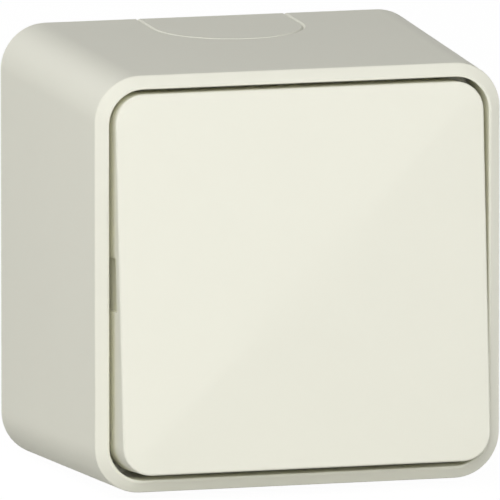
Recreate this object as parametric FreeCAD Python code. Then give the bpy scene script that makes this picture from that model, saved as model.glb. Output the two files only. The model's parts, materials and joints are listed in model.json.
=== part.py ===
"""Surface mounted rocker light switch, as an assembly of its separate pieces.

Frame: the origin is the centre of the back face that lies on the wall. +X is to the right as the
user sees the switch, +Z is up, and the front looks along -Y. Depth below means the distance from
the wall towards the user, so a depth of 10 is the plane y = -10. All sizes are in millimetres.
"""
import FreeCAD, Part
import math
import os

V = FreeCAD.Vector
ORIGIN = V(0, 0, 0)
RIGHT = V(1, 0, 0)
FRONT = V(0, -1, 0)
UP = V(0, 0, 1)
OVER = 1.0                 # cutting tools reach this far past what they cut
NEAR = 0.01                # an edge counts as lying at a place within this

# Hood, the square tube that the user sees
BACK_WIDTH = 67.0          # outside of the square back edge
SIDE_TAPER = 3.1           # the rim is this much narrower than the back edge
RIM_DEPTH = 48.2           # wall to the rim's outer edge
RIM_RISE = 1.08            # the rim slopes up by this much to its lip
HOOD_WALL = 2.0
CORNER_RADIUS = 7.05       # outside corners
LIP_RADIUS = 5.3           # inside corners
LIP_FLAT = 0.2             # flat left between the rim's slope and the rounded lip
RIM_ROUND = 0.45           # edge between side and rim
LIP_ROUND = 0.22           # edge between rim and opening
WEB_BEHIND_PIVOT = 9.0     # front of the inner web, measured back from the rocker's axis
WEB_THICKNESS = 2.0
WINDOW_CLEARANCE = 0.3     # web window round the cover's boss
GUARD_WALL = 1.0           # rings on the web round the screw heads
GUARD_HEIGHT = 1.4
HEAD_CLEARANCE = 0.4       # room round a screw head
WALL_RIB = 1.2             # ribs on the inside of the hood's walls
WALL_RIB_HEIGHT = 0.9
SIDE_RIB_Z = 14.0          # ribs on the left and right walls, from the centre
END_RIB_INSET = 12.0       # ribs on the top and bottom walls, from the back edge
KNOCKOUT_WIDTH = 24.0      # cable entry that is broken out of the top or bottom wall
KNOCKOUT_STRAIGHT = 9.2    # straight run from the back edge, before the half circle
GROOVE_WIDTH = 0.4
GROOVE_DEPTH = 0.35

# Base plate on the wall
BASE_PLAY = 0.2            # base to the hood's inside
BASE_FLOOR = 2.6
BASE_RIM_HEIGHT = 4.5
BASE_RIM_WALL = 1.4
CABLE_GAP = 1.0            # the base's rim stops this far beside the knock-out
SLOT_WIDTH = 4.4           # wall screw slots
SLOT_LENGTH = 9.0
SLOT_INSET = 8.5           # slot centre to the hood's back edge
SLOT_DROP = 15.0           # slots below the centre
SLOT_PAD = 2.0             # raised pad round each slot
SLOT_PAD_HEIGHT = 1.2
ENTRY_TO_RIB = 3.5         # cable entry through the base, beside the cradle ribs
ENTRY_HEIGHT = 11.0
ENTRY_CENTRE = 10.5        # above the centre
ENTRY_RADIUS = 3.0
PILLAR_SIZE = 7.6          # square posts that the hood is screwed to
PILLAR_INSET = 8.5         # pillar centre to the hood's back edge
PILLAR_ROUND = 1.2
GUSSET_THICKNESS = 1.6
GUSSET_HEIGHT = 12.0
GUSSET_REACH = 4.5
CRADLE_INSET = 4.0         # two ribs under the insert, inside its edges
CRADLE_RIB = 2.0
CRADLE_LENGTH = 34.0
CRADLE_NOTCH = 12.0        # wires cross the ribs here
CRADLE_BRIDGE = 3.0        # height left over the notch

# Rocker, described level and tilted at the end
ROCKER_SIDE_GAP = 0.915    # to the lip, left and right
ROCKER_END_GAP = 0.965     # to the lip, top and bottom
ROCKER_CORNER = 4.5
ROCKER_ROUND = 0.4         # edge between face and skirt
FACE_LIFT = 2.48           # edge of the level face, in front of the lip
FACE_CROWN = 2.3           # the four facets rise this much to the middle
CROWN_SOFTNESS = 0.14      # how far the middle is rounded, as a share of the half width
CROWN_SHARES = (1.0, 0.36, 0.22, 0.12, 0.05)
FACE_WALL = 1.9
SKIRT_WALL = 1.6
SKIRT_DEPTH = 8.2          # face edge to the skirt's back
PIVOT_BELOW_FACE = 4.75    # face edge to the axis
REST_TILT = 4.55           # degrees, top pressed in
NOTCH_HEIGHT = 8.2         # prying notch in the left skirt
NOTCH_BELOW_FACE = 1.95
NOTCH_DEPTH = 0.45
NOTCH_ROUND = 1.0
LEG_INSET = 4.4            # snap legs, inside the carrier's ends
LEG_WIDTH = 5.0
LEG_WALL = 1.3
LEG_PLAY = 0.1             # leg to carrier
HOOK_HEIGHT = 0.8
HOOK_REACH = 0.7
HOOK_PLAY = 0.05           # hook to carrier
PAD_WIDTH = 4.0            # pads that press on the carrier's face
PAD_HEIGHT = 2.2
PAD_INSET = 0.8
RIB_THICKNESS = 1.2
RIB_HEIGHT = 1.6
RIB_INSET = 9.15           # face ribs, from the rocker's edges
INTO_WALL = 0.5            # inner ribs reach this far into the wall they join
INTO_ROOF = 0.6
LEG_INTO_ROOF = 1.0

# Carrier that turns in the cover's ears, with the plunger and spring inside its tube
CARRIER_HEIGHT = 21.0
CARRIER_FRONT = 1.0        # front of the frame, in front of the axis
CARRIER_THICKNESS = 3.0
CARRIER_ROUND = 1.0
CARRIER_BAR = 3.6          # end bars beside the two windows
CARRIER_WINDOW_HEIGHT = 13.0
TUBE_SURROUND = 1.4        # frame left round the tube
TRUNNION_RADIUS = 1.5
SIDE_PLAY = 0.2
TUBE_RADIUS = 3.0
TUBE_BORE = 1.95
TUBE_REACH = 15.0          # axis to the tube's mouth
TUBE_ROOF = 1.4
PLUNGER_RADIUS = 1.85
PLUNGER_LENGTH = 8.5
NOSE_RADIUS = 1.1
SPRING_WIRE = 0.42
SPRING_RADIUS = 1.45       # to the middle of the wire
SPRING_TURNS = 6

# Insert: moulded body, cover with bearing ears, and fixing lugs
PILLAR_TO_INSERT = 3.7
INSERT_DEPTH = 21.0
INSERT_ROUND = 1.5
COVER_PLATE = 2.8
COVER_HEIGHT = 27.0
COVER_TO_WEB = 0.2
BOSS_OVERHANG = 0.5        # boss beyond the insert's width, each side
BOSS_HEIGHT = 17.0
BOSS_BEHIND_PIVOT = 7.5
BOSS_ROUND = 2.0
EAR_INSET = 0.9            # ear to the boss's end
EAR_THICKNESS = 2.5
EAR_HEIGHT = 9.0
EAR_TOP_RADIUS = 2.75
BEARING_PLAY = 0.06
TUBE_CLEARANCE = 0.45
LUG_RADIUS = 3.9
LUG_THICKNESS = 2.5
LUG_INSET_X = 2.9          # lug centre to the insert's side
LUG_INSET_Z = 7.4          # lug centre to the hood's back edge
LUG_NECK = 2.0             # the lug reaches this far into the block
LUG_SEAT_BELOW_FRONT = 14.0
POST_RADIUS = 3.0
POST_CLEARANCE = 0.1       # post to the insert's block

# Contacts and terminals
STRIP_THICKNESS = 0.8
STRIP_SEAT = 9.7           # above the insert's back
STRIP_WIDTH = 6.4
PAD_STRIP_WIDTH = 6.0
PAD_MARGIN = 0.8           # strip beyond the silver tip
POCKET_PLAY = 0.15
CHAMBER_WIDTH = 8.0
CHAMBER_HEIGHT = 26.0
TERMINAL_SIDE_WALL = 1.8   # terminal pocket to the insert's side
TERMINAL_END_WALL = 1.3
WIRE_WIDTH = 4.0
CONTACT_REACH = 9.5        # axis of the contact plate to its tips
CONTACT_LENGTH = 22.0
CONTACT_WIDTH = 6.8
CONTACT_THICKNESS = 0.8
CONTACT_CORNER = 1.2
CONTACT_TILT = 7.5         # degrees, lower end pushed back at rest
FULCRUM_RADIUS = 0.6
SADDLE_WIDTH = 5.0
RUNNING_GAP = 0.05
TAB_LENGTH = 2.0
TAB_HEIGHT = 3.0
TIP_RADIUS = 1.6
MOVING_TIP = 0.8
MOVING_TIP_ROUND = 0.35
FIXED_TIP = 0.8
FIXED_TIP_ROUND = 0.2
CLOSED_GAP = 0.1
PLUNGER_GAP = 0.3
CLAMP_SIZE = 6.0
CLAMP_THICKNESS = 1.2
CLAMP_ROUND = 0.6

# Screws
THREAD_RADIUS = 1.7
THREAD_PLAY = 0.06
HEAD_RADIUS = 3.0
HEAD_HEIGHT = 1.9
HEAD_ROUND = 0.5
DRIVE_WIDTH = 0.9
DRIVE_DEPTH = 1.0
HOLE_RADIUS = 1.95         # through holes under the heads
HOOD_SCREW_LENGTH = 10.0
INSERT_SCREW_LENGTH = 9.0
TERMINAL_SCREW_LENGTH = 7.0


def hood_width(depth):
    """Outside width of the tapered hood at a depth."""
    return BACK_WIDTH - SIDE_TAPER * depth / RIM_DEPTH


def hood_inside(depth):
    """Inside width of the hood at a depth."""
    return hood_width(depth) - 2 * HOOD_WALL


# Depths that follow from the sizes above
LIP_DEPTH = RIM_DEPTH + RIM_RISE
FACE_DEPTH = LIP_DEPTH + FACE_LIFT
PIVOT_DEPTH = FACE_DEPTH - PIVOT_BELOW_FACE
WEB_FRONT = PIVOT_DEPTH - WEB_BEHIND_PIVOT
WEB_BACK = WEB_FRONT - WEB_THICKNESS
COVER_FRONT = WEB_BACK - COVER_TO_WEB
INSERT_FRONT = COVER_FRONT - COVER_PLATE
INSERT_BACK = INSERT_FRONT - INSERT_DEPTH
BOSS_FRONT = PIVOT_DEPTH - BOSS_BEHIND_PIVOT
LUG_SEAT = INSERT_FRONT - LUG_SEAT_BELOW_FRONT
STRIP_BACK = INSERT_BACK + STRIP_SEAT
STRIP_FRONT = STRIP_BACK + STRIP_THICKNESS
CARRIER_FACE = PIVOT_DEPTH + CARRIER_FRONT
CARRIER_BACK = CARRIER_FACE - CARRIER_THICKNESS
SKIRT_BACK = FACE_DEPTH - SKIRT_DEPTH
BASE_RIM_FRONT = BASE_FLOOR + BASE_RIM_HEIGHT
PIVOT = V(0, -PIVOT_DEPTH, 0)

# Widths and places across the front that follow
FRONT_WIDTH = hood_width(RIM_DEPTH)
ROCKER_WIDTH = hood_inside(LIP_DEPTH) - 2 * ROCKER_SIDE_GAP
ROCKER_HEIGHT = hood_inside(LIP_DEPTH) - 2 * ROCKER_END_GAP
PILLAR_X = BACK_WIDTH / 2.0 - PILLAR_INSET
SLOT_X = BACK_WIDTH / 2.0 - SLOT_INSET
INSERT_WIDTH = 2 * (PILLAR_X - PILLAR_SIZE / 2.0 - PILLAR_TO_INSERT)
LUG_X = INSERT_WIDTH / 2.0 - LUG_INSET_X
LUG_Z = BACK_WIDTH / 2.0 - LUG_INSET_Z
INSERT_HEIGHT = 2 * (LUG_Z - POST_RADIUS - POST_CLEARANCE)
BOSS_WIDTH = INSERT_WIDTH + 2 * BOSS_OVERHANG
EAR_SPACING = BOSS_WIDTH - 2 * (EAR_THICKNESS + EAR_INSET)
CARRIER_WIDTH = EAR_SPACING - 2 * SIDE_PLAY
LEG_X = CARRIER_WIDTH / 2.0 - LEG_INSET - LEG_WIDTH / 2.0
CRADLE_X = INSERT_WIDTH / 2.0 - CRADLE_INSET
ENTRY_WIDTH = 2 * (CRADLE_X - CRADLE_RIB / 2.0 - ENTRY_TO_RIB)
TERMINAL_X = INSERT_WIDTH / 2.0 - TERMINAL_SIDE_WALL - STRIP_WIDTH / 2.0
TERMINAL_Z = INSERT_HEIGHT / 2.0 - TERMINAL_END_WALL - STRIP_WIDTH / 2.0

# The contact plate lies in front of the fulcrum's round edge and turns about its centre
PLATE_BACK = FULCRUM_RADIUS + RUNNING_GAP
PLATE_FRONT = PLATE_BACK + CONTACT_THICKNESS
TILT_SIN = math.sin(math.radians(CONTACT_TILT))
TILT_COS = math.cos(math.radians(CONTACT_TILT))
TIP_SETBACK = (MOVING_TIP - PLATE_BACK) * TILT_COS + (CONTACT_REACH + TIP_RADIUS) * TILT_SIN
FULCRUM_DEPTH = STRIP_FRONT + FIXED_TIP + CLOSED_GAP + TIP_SETBACK
FULCRUM = V(0, -FULCRUM_DEPTH, 0)

# The plunger's tip stays clear of the tilted plate by the plunger gap
REST_SIN = math.sin(math.radians(REST_TILT))
REST_COS = math.cos(math.radians(REST_TILT))
AXIS_TO_FULCRUM = PIVOT_DEPTH - FULCRUM_DEPTH
PLATE_SLOPE = TILT_SIN / TILT_COS
TIP_CENTRE_REACH = ((AXIS_TO_FULCRUM - (PLATE_FRONT + NOSE_RADIUS + PLUNGER_GAP) / TILT_COS)
                    / (REST_COS - REST_SIN * PLATE_SLOPE))

TERMINALS = {
    "common": (-TERMINAL_X, TERMINAL_Z),
    "upper": (TERMINAL_X, TERMINAL_Z),
    "lower": (TERMINAL_X, -TERMINAL_Z),
    "loop": (-TERMINAL_X, -TERMINAL_Z),
}


def box(x_range, depth_range, z_range):
    """Block between two limits of each kind."""
    x0, x1 = sorted(x_range)
    d0, d1 = sorted(depth_range)
    z0, z1 = sorted(z_range)
    return Part.makeBox(x1 - x0, d1 - d0, z1 - z0, V(x0, -d1, z0))


def bar(thickness, centre):
    """Limits of a rib from its thickness and its middle."""
    return (centre - thickness / 2.0, centre + thickness / 2.0)


def rod(radius, depth_range, x=0.0, z=0.0):
    """Round bar that points to the front."""
    d0, d1 = depth_range
    return Part.makeCylinder(radius, d1 - d0, V(x, -d0, z), FRONT)


def cross_rod(radius, x_range, depth, z=0.0):
    """Round bar along X."""
    x0, x1 = x_range
    return Part.makeCylinder(radius, x1 - x0, V(x0, -depth, z), RIGHT)


def rounded_wire(width, height, radius, depth, x=0.0, z=0.0):
    """Rounded rectangle at a depth, as seen from the front."""
    half_w = width / 2.0
    half_h = height / 2.0
    straight_w = half_w - radius
    straight_h = half_h - radius
    slant = radius * math.sqrt(0.5)

    def at(px, pz):
        return V(x + px, -depth, z + pz)

    edges = []
    for sx, sz in ((1, 1), (-1, 1), (-1, -1), (1, -1)):
        side = at(sx * half_w, sz * straight_h)
        middle = at(sx * (straight_w + slant), sz * (straight_h + slant))
        end = at(sx * straight_w, sz * half_h)
        edges.append(Part.Arc(side, middle, end).toShape())
    for s in (1, -1):
        edges.append(Part.makeLine(at(s * half_w, -straight_h), at(s * half_w, straight_h)))
        edges.append(Part.makeLine(at(-straight_w, s * half_h), at(straight_w, s * half_h)))
    return Part.Wire(Part.__sortEdges__(edges))


def rounded_block(width, height, radius, depth_range, x=0.0, z=0.0):
    """Straight prism with a rounded rectangle as its outline."""
    d0, d1 = depth_range
    face = Part.Face(rounded_wire(width, height, radius, d0, x, z))
    return face.extrude(V(0, d0 - d1, 0))


def loft(sections):
    """Solid with straight sides through square sections of (width, radius, depth)."""
    wires = [rounded_wire(width, width, radius, depth) for width, radius, depth in sections]
    return Part.makeLoft(wires, True, True)


def fuse(shapes):
    """One clean solid from overlapping or touching shapes."""
    first, rest = shapes[0], shapes[1:]
    return first.fuse(rest).removeSplitter()


def cut(shape, tools):
    """The shape without the tools."""
    return shape.cut(tools).removeSplitter()


def mirrored(shape):
    """Copy on the other side of the vertical middle plane."""
    return shape.mirror(ORIGIN, RIGHT)


def soften(shape, radius, test):
    """Fillet on the edges whose centre passes a test."""
    return shape.makeFillet(radius, [edge for edge in shape.Edges if test(edge.CenterOfMass, edge)])


def tilt(shape, centre, degrees):
    """Copy turned about a line along X."""
    turned = shape.copy()
    turned.rotate(centre, RIGHT, degrees)
    return turned


def slot_shape(length, width, depth_range, x, z):
    """Slot with round ends that runs along X."""
    reach = (length - width) / 2.0
    middle = box((x - reach, x + reach), depth_range, bar(width, z))
    ends = [rod(width / 2.0, depth_range, x + s * reach, z) for s in (-1, 1)]
    return middle.fuse(ends)


def knockout_groove(side):
    """Thin groove that marks the cable entry on the top (side 1) or bottom (side -1) wall."""
    def outline(width):
        radius = width / 2.0
        straight = Part.makeBox(width, KNOCKOUT_STRAIGHT + OVER, BACK_WIDTH / 2.0,
                                V(-radius, -KNOCKOUT_STRAIGHT, 0))
        end = Part.makeCylinder(radius, BACK_WIDTH / 2.0, V(0, -KNOCKOUT_STRAIGHT, 0), UP)
        return straight.fuse(end)

    band = outline(KNOCKOUT_WIDTH).cut(outline(KNOCKOUT_WIDTH - 2 * GROOVE_WIDTH))
    floor = loft([(hood_width(depth) - 2 * GROOVE_DEPTH, CORNER_RADIUS, depth)
                  for depth in (-OVER, RIM_DEPTH)])
    groove = band.cut(floor)
    return groove if side > 0 else groove.mirror(ORIGIN, UP)


def hood_wall_ribs():
    """Low ribs on the inside of the hood's four walls, between the base's rim and the web."""
    depths = (BASE_RIM_FRONT + OVER, WEB_BACK + INTO_WALL)
    near = hood_inside(WEB_BACK) / 2.0 - WALL_RIB_HEIGHT
    far = hood_inside(BASE_RIM_FRONT) / 2.0 + INTO_WALL
    end_rib_x = BACK_WIDTH / 2.0 - END_RIB_INSET
    ribs = []
    for side in (-1, 1):
        for place in (-1, 1):
            ribs.append(box((side * near, side * far), depths, bar(WALL_RIB, place * SIDE_RIB_Z)))
            ribs.append(box(bar(WALL_RIB, place * end_rib_x), depths, (side * near, side * far)))
    return ribs


def make_hood():
    """Tapered square tube with a sloped rim, an inner web and two marked cable entries."""
    lip_width = hood_inside(LIP_DEPTH)
    rim_top = lip_width + 2 * (LIP_ROUND + LIP_FLAT)
    tube = loft([(hood_width(0), CORNER_RADIUS, 0), (FRONT_WIDTH, CORNER_RADIUS, RIM_DEPTH)])
    rim = loft([(FRONT_WIDTH, CORNER_RADIUS, RIM_DEPTH), (rim_top, LIP_RADIUS + LIP_ROUND, LIP_DEPTH)])
    solid = fuse([tube, rim])
    solid = soften(solid, RIM_ROUND, lambda c, e: abs(c.y + RIM_DEPTH) < NEAR)

    room_back = loft([(hood_inside(-OVER), LIP_RADIUS, -OVER), (hood_inside(WEB_BACK), LIP_RADIUS, WEB_BACK)])
    room_front = loft([(hood_inside(WEB_FRONT), LIP_RADIUS, WEB_FRONT),
                       (hood_inside(LIP_DEPTH + OVER), LIP_RADIUS, LIP_DEPTH + OVER)])
    solid = cut(solid, [room_back, room_front])
    inside = lip_width / 2.0 + NEAR
    solid = soften(solid, LIP_ROUND, lambda c, e: abs(c.y + LIP_DEPTH) < NEAR
                   and e.BoundBox.XMax < inside and e.BoundBox.XMin > -inside
                   and e.BoundBox.ZMax < inside and e.BoundBox.ZMin > -inside)

    guards = [rod(HEAD_RADIUS + HEAD_CLEARANCE + GUARD_WALL, (WEB_FRONT, WEB_FRONT + GUARD_HEIGHT), s * PILLAR_X)
              for s in (-1, 1)]
    solid = fuse([solid] + hood_wall_ribs() + guards)

    through = (WEB_BACK - OVER, WEB_FRONT + OVER)
    tools = [rounded_block(BOSS_WIDTH + 2 * WINDOW_CLEARANCE, BOSS_HEIGHT + 2 * WINDOW_CLEARANCE,
                           BOSS_ROUND + WINDOW_CLEARANCE, through)]
    for side in (-1, 1):
        tools.append(rod(HOLE_RADIUS, through, side * PILLAR_X))
        tools.append(rod(HEAD_RADIUS + HEAD_CLEARANCE, (WEB_FRONT, WEB_FRONT + GUARD_HEIGHT + OVER),
                         side * PILLAR_X))
        tools.append(knockout_groove(side))
    return cut(solid, tools)


def gusset(x, side):
    """Triangular rib that braces a pillar, above (side 1) or below (side -1) it."""
    foot = side * PILLAR_SIZE / 2.0
    edge = x - GUSSET_THICKNESS / 2.0
    points = [V(edge, -BASE_FLOOR, 0),
              V(edge, -BASE_FLOOR, foot + side * GUSSET_REACH),
              V(edge, -BASE_FLOOR - GUSSET_HEIGHT, foot),
              V(edge, -BASE_FLOOR - GUSSET_HEIGHT, 0)]
    face = Part.Face(Part.makePolygon(points + [points[0]]))
    return face.extrude(V(GUSSET_THICKNESS, 0, 0))


def base_rim():
    """Low wall round the base, with gaps at the two cable entries."""
    width = hood_inside(BASE_RIM_FRONT) - 2 * BASE_PLAY
    radius = LIP_RADIUS - BASE_PLAY
    depths = (BASE_FLOOR, BASE_RIM_FRONT)
    rim = rounded_block(width, width, radius, depths)
    hollow_width = width - 2 * BASE_RIM_WALL
    hollow = rounded_block(hollow_width, hollow_width, radius - BASE_RIM_WALL, depths)
    cable_gap = box(bar(KNOCKOUT_WIDTH + 2 * CABLE_GAP, 0), depths, (-BACK_WIDTH, BACK_WIDTH))
    return rim.cut([hollow, cable_gap]).Solids


def make_base():
    """Moulded plate on the wall with pillars for the hood and a cradle for the insert."""
    width = hood_inside(BASE_FLOOR) - 2 * BASE_PLAY
    plate = rounded_block(width, width, LIP_RADIUS - BASE_PLAY, (0, BASE_FLOOR))
    pad_limit = width / 2.0 - BASE_RIM_WALL

    pieces = [plate] + base_rim()
    through = (-OVER, BASE_FLOOR + SLOT_PAD_HEIGHT + OVER)
    tools = [rounded_block(ENTRY_WIDTH, ENTRY_HEIGHT, ENTRY_RADIUS, (-OVER, BASE_FLOOR + OVER), 0, ENTRY_CENTRE)]
    for side in (-1, 1):
        x = side * PILLAR_X
        pieces.append(rounded_block(PILLAR_SIZE, PILLAR_SIZE, PILLAR_ROUND, (BASE_FLOOR, WEB_BACK), x))
        pieces += [gusset(x, 1), gusset(x, -1)]
        pieces.append(rod(POST_RADIUS, (BASE_FLOOR, LUG_SEAT), side * LUG_X, side * LUG_Z))

        rib_x = side * CRADLE_X
        rib = box(bar(CRADLE_RIB, rib_x), (BASE_FLOOR, INSERT_BACK), bar(CRADLE_LENGTH, 0))
        wires = box(bar(2 * CRADLE_RIB, rib_x), (BASE_FLOOR, INSERT_BACK - CRADLE_BRIDGE), bar(CRADLE_NOTCH, 0))
        pieces.append(rib.cut(wires))

        pad_end = min(SLOT_X + SLOT_LENGTH / 2.0 + SLOT_PAD, pad_limit)
        pad_start = SLOT_X - SLOT_LENGTH / 2.0 - SLOT_PAD
        pieces.append(box((side * pad_start, side * pad_end), (BASE_FLOOR, BASE_FLOOR + SLOT_PAD_HEIGHT),
                          bar(SLOT_WIDTH + 2 * SLOT_PAD, -SLOT_DROP)))

        tools.append(slot_shape(SLOT_LENGTH, SLOT_WIDTH, through, side * SLOT_X, -SLOT_DROP))
        tools.append(rod(THREAD_RADIUS + THREAD_PLAY, (WEB_FRONT - HOOD_SCREW_LENGTH - OVER, WEB_BACK + OVER), x))
        tools.append(rod(THREAD_RADIUS + THREAD_PLAY,
                         (LUG_SEAT + LUG_THICKNESS - INSERT_SCREW_LENGTH - OVER, LUG_SEAT + OVER),
                         side * LUG_X, side * LUG_Z))
    return cut(fuse(pieces), tools)


def make_screw(seat, length, x, z):
    """Round headed screw whose head bears on a seat, with a slotted head."""
    head = rod(HEAD_RADIUS, (seat, seat + HEAD_HEIGHT), x, z)
    head = soften(head, HEAD_ROUND, lambda c, e: abs(c.y + seat + HEAD_HEIGHT) < NEAR)
    shank = rod(THREAD_RADIUS, (seat - length, seat), x, z)
    slot = box(bar(DRIVE_WIDTH, x), (seat + HEAD_HEIGHT - DRIVE_DEPTH, seat + HEAD_HEIGHT + OVER),
               bar(2 * HEAD_RADIUS, z))
    return cut(fuse([shank, head]), [slot])


def common_strip(grow, depth_range):
    """Outline of the common contact's strip: a foot under the fulcrum and an arm to its terminal."""
    half = STRIP_WIDTH / 2.0 + grow
    foot = PAD_STRIP_WIDTH / 2.0 + grow
    across = box((-TERMINAL_X - half, foot), depth_range, (-foot, foot))
    along = box((-TERMINAL_X - half, -TERMINAL_X + half), depth_range, (-foot, TERMINAL_Z + half))
    return [across, along]


def fixed_strip(side, grow, depth_range):
    """Outline of a fixed contact's strip: a pad under the tip and an arm to its terminal."""
    half = STRIP_WIDTH / 2.0 + grow
    pad = PAD_STRIP_WIDTH / 2.0 + grow
    start = side * (CONTACT_REACH - TIP_RADIUS - PAD_MARGIN - grow)
    end = side * (TERMINAL_Z + half)
    bend = side * (TERMINAL_Z - half)
    along = box((-pad, pad), depth_range, (start, end))
    across = box((-pad, TERMINAL_X + half), depth_range, (bend, end))
    return [along, across]


def loop_strip(grow, depth_range):
    """Outline of the loop terminal's plate, which only joins wires."""
    half = STRIP_WIDTH / 2.0 + grow
    return [box((-TERMINAL_X - half, -TERMINAL_X + half), depth_range,
                (-TERMINAL_Z - half, -TERMINAL_Z + half))]


def make_strip(outline, terminal):
    """Sheet metal strip with the hole for its terminal screw."""
    x, z = TERMINALS[terminal]
    hole = rod(THREAD_RADIUS + THREAD_PLAY, (STRIP_BACK - OVER, STRIP_FRONT + OVER), x, z)
    return cut(fuse(outline), [hole])


def make_common_contact():
    """Common strip with the upright whose round edge is the contact plate's fulcrum."""
    strip = make_strip(common_strip(0, (STRIP_BACK, STRIP_FRONT)), "common")
    half = SADDLE_WIDTH / 2.0
    upright = box((-half, half), (STRIP_FRONT, FULCRUM_DEPTH), (-FULCRUM_RADIUS, FULCRUM_RADIUS))
    edge = cross_rod(FULCRUM_RADIUS, (-half, half), FULCRUM_DEPTH)
    return fuse([strip, upright, edge])


def insert_lug(side):
    """Fixing lug beside the insert's block, for a screw into the base's post."""
    seat = (LUG_SEAT, LUG_SEAT + LUG_THICKNESS)
    x = side * LUG_X
    reach = min(LUG_RADIUS, LUG_INSET_X)
    disc = rod(LUG_RADIUS, seat, x, side * LUG_Z)
    neck = box((x - reach, x + reach), seat, (side * (INSERT_HEIGHT / 2.0 - LUG_NECK), side * LUG_Z))
    return [disc, neck]


def make_insert_body():
    """Moulded block with a contact chamber, four terminal pockets and two fixing lugs."""
    block = rounded_block(INSERT_WIDTH, INSERT_HEIGHT, INSERT_ROUND, (INSERT_BACK, INSERT_FRONT))
    solid = fuse([block] + insert_lug(1) + insert_lug(-1))

    open_front = (STRIP_BACK, INSERT_FRONT + OVER)
    tools = [box(bar(CHAMBER_WIDTH, 0), open_front, bar(CHAMBER_HEIGHT, 0))]
    tools += common_strip(POCKET_PLAY, open_front)
    tools += fixed_strip(1, POCKET_PLAY, open_front)
    tools += fixed_strip(-1, POCKET_PLAY, open_front)
    tools += loop_strip(POCKET_PLAY, open_front)
    for x, z in TERMINALS.values():
        well = (STRIP_FRONT + CLAMP_THICKNESS - TERMINAL_SCREW_LENGTH - OVER, STRIP_BACK + OVER)
        tools.append(rod(HOLE_RADIUS, well, x, z))
        wall = (z, math.copysign(INSERT_HEIGHT / 2.0 + OVER, z))
        tools.append(box(bar(WIRE_WIDTH, x), (STRIP_FRONT, INSERT_FRONT + OVER), wall))
    for side in (-1, 1):
        x, z = side * LUG_X, side * LUG_Z
        tools.append(rod(HOLE_RADIUS, (LUG_SEAT - OVER, LUG_SEAT + LUG_THICKNESS + OVER), x, z))
        tools.append(rod(HEAD_RADIUS + HEAD_CLEARANCE, (LUG_SEAT + LUG_THICKNESS, INSERT_FRONT + OVER), x, z))
    return cut(solid, tools)


def bearing_ear(side):
    """Upright on the cover's boss with a round top, in which a trunnion of the carrier turns."""
    inner = EAR_SPACING / 2.0
    x0, x1 = sorted((side * inner, side * (inner + EAR_THICKNESS)))
    half = EAR_HEIGHT / 2.0
    foot_low = V(x0, -BOSS_FRONT, -half)
    foot_high = V(x0, -BOSS_FRONT, half)
    shoulder_high = V(x0, -PIVOT_DEPTH, EAR_TOP_RADIUS)
    crest = V(x0, -PIVOT_DEPTH - EAR_TOP_RADIUS, 0)
    shoulder_low = V(x0, -PIVOT_DEPTH, -EAR_TOP_RADIUS)
    wire = Part.Wire([Part.makeLine(foot_low, foot_high),
                      Part.makeLine(foot_high, shoulder_high),
                      Part.Arc(shoulder_high, crest, shoulder_low).toShape(),
                      Part.makeLine(shoulder_low, foot_low)])
    return Part.Face(wire).extrude(V(x1 - x0, 0, 0))


def make_insert_cover():
    """Cover over the contact chamber, with a boss through the hood's web and two bearing ears."""
    plate = rounded_block(INSERT_WIDTH, COVER_HEIGHT, INSERT_ROUND, (INSERT_FRONT, COVER_FRONT))
    boss = rounded_block(BOSS_WIDTH, BOSS_HEIGHT, BOSS_ROUND, (COVER_FRONT, BOSS_FRONT))
    solid = fuse([plate, boss, bearing_ear(1), bearing_ear(-1)])

    reach = EAR_SPACING / 2.0 + EAR_THICKNESS + OVER
    bearing = cross_rod(TRUNNION_RADIUS + BEARING_PLAY, (-reach, reach), PIVOT_DEPTH)
    swing = TUBE_REACH * REST_SIN + TUBE_RADIUS + TUBE_CLEARANCE
    slot = rounded_block(2 * (TUBE_RADIUS + TUBE_CLEARANCE), 2 * swing, TUBE_RADIUS,
                         (INSERT_FRONT - OVER, BOSS_FRONT + OVER))
    return cut(solid, [bearing, slot])


def make_contact_rocker():
    """Flat brass plate with two tabs that keep it on its fulcrum, level."""
    back = FULCRUM_DEPTH + PLATE_BACK
    plate = box(bar(CONTACT_WIDTH, 0), (back, FULCRUM_DEPTH + PLATE_FRONT), bar(CONTACT_LENGTH, 0))
    tab = box((SADDLE_WIDTH / 2.0 + RUNNING_GAP, CONTACT_WIDTH / 2.0), (back - TAB_LENGTH, back),
              bar(TAB_HEIGHT, 0))
    solid = fuse([plate, tab, mirrored(tab)])
    return soften(solid, CONTACT_CORNER, lambda c, e: abs(abs(c.x) - CONTACT_WIDTH / 2.0) < NEAR
                  and abs(abs(c.z) - CONTACT_LENGTH / 2.0) < NEAR)


def make_moving_tip(side):
    """Silver button on the back of the contact plate."""
    back = FULCRUM_DEPTH + PLATE_BACK
    tip = rod(TIP_RADIUS, (back - MOVING_TIP, back), 0, side * CONTACT_REACH)
    return soften(tip, MOVING_TIP_ROUND, lambda c, e: abs(c.y + back - MOVING_TIP) < NEAR)


def make_fixed_tip(side):
    """Silver button on a fixed strip."""
    tip = rod(TIP_RADIUS, (STRIP_FRONT, STRIP_FRONT + FIXED_TIP), 0, side * CONTACT_REACH)
    return soften(tip, FIXED_TIP_ROUND, lambda c, e: abs(c.y + STRIP_FRONT + FIXED_TIP) < NEAR)


def make_clamp(terminal):
    """Square washer under a terminal screw's head."""
    x, z = TERMINALS[terminal]
    plate = rounded_block(CLAMP_SIZE, CLAMP_SIZE, CLAMP_ROUND, (STRIP_FRONT, STRIP_FRONT + CLAMP_THICKNESS), x, z)
    hole = rod(THREAD_RADIUS + THREAD_PLAY, (STRIP_FRONT - OVER, STRIP_FRONT + CLAMP_THICKNESS + OVER), x, z)
    return cut(plate, [hole])


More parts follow.
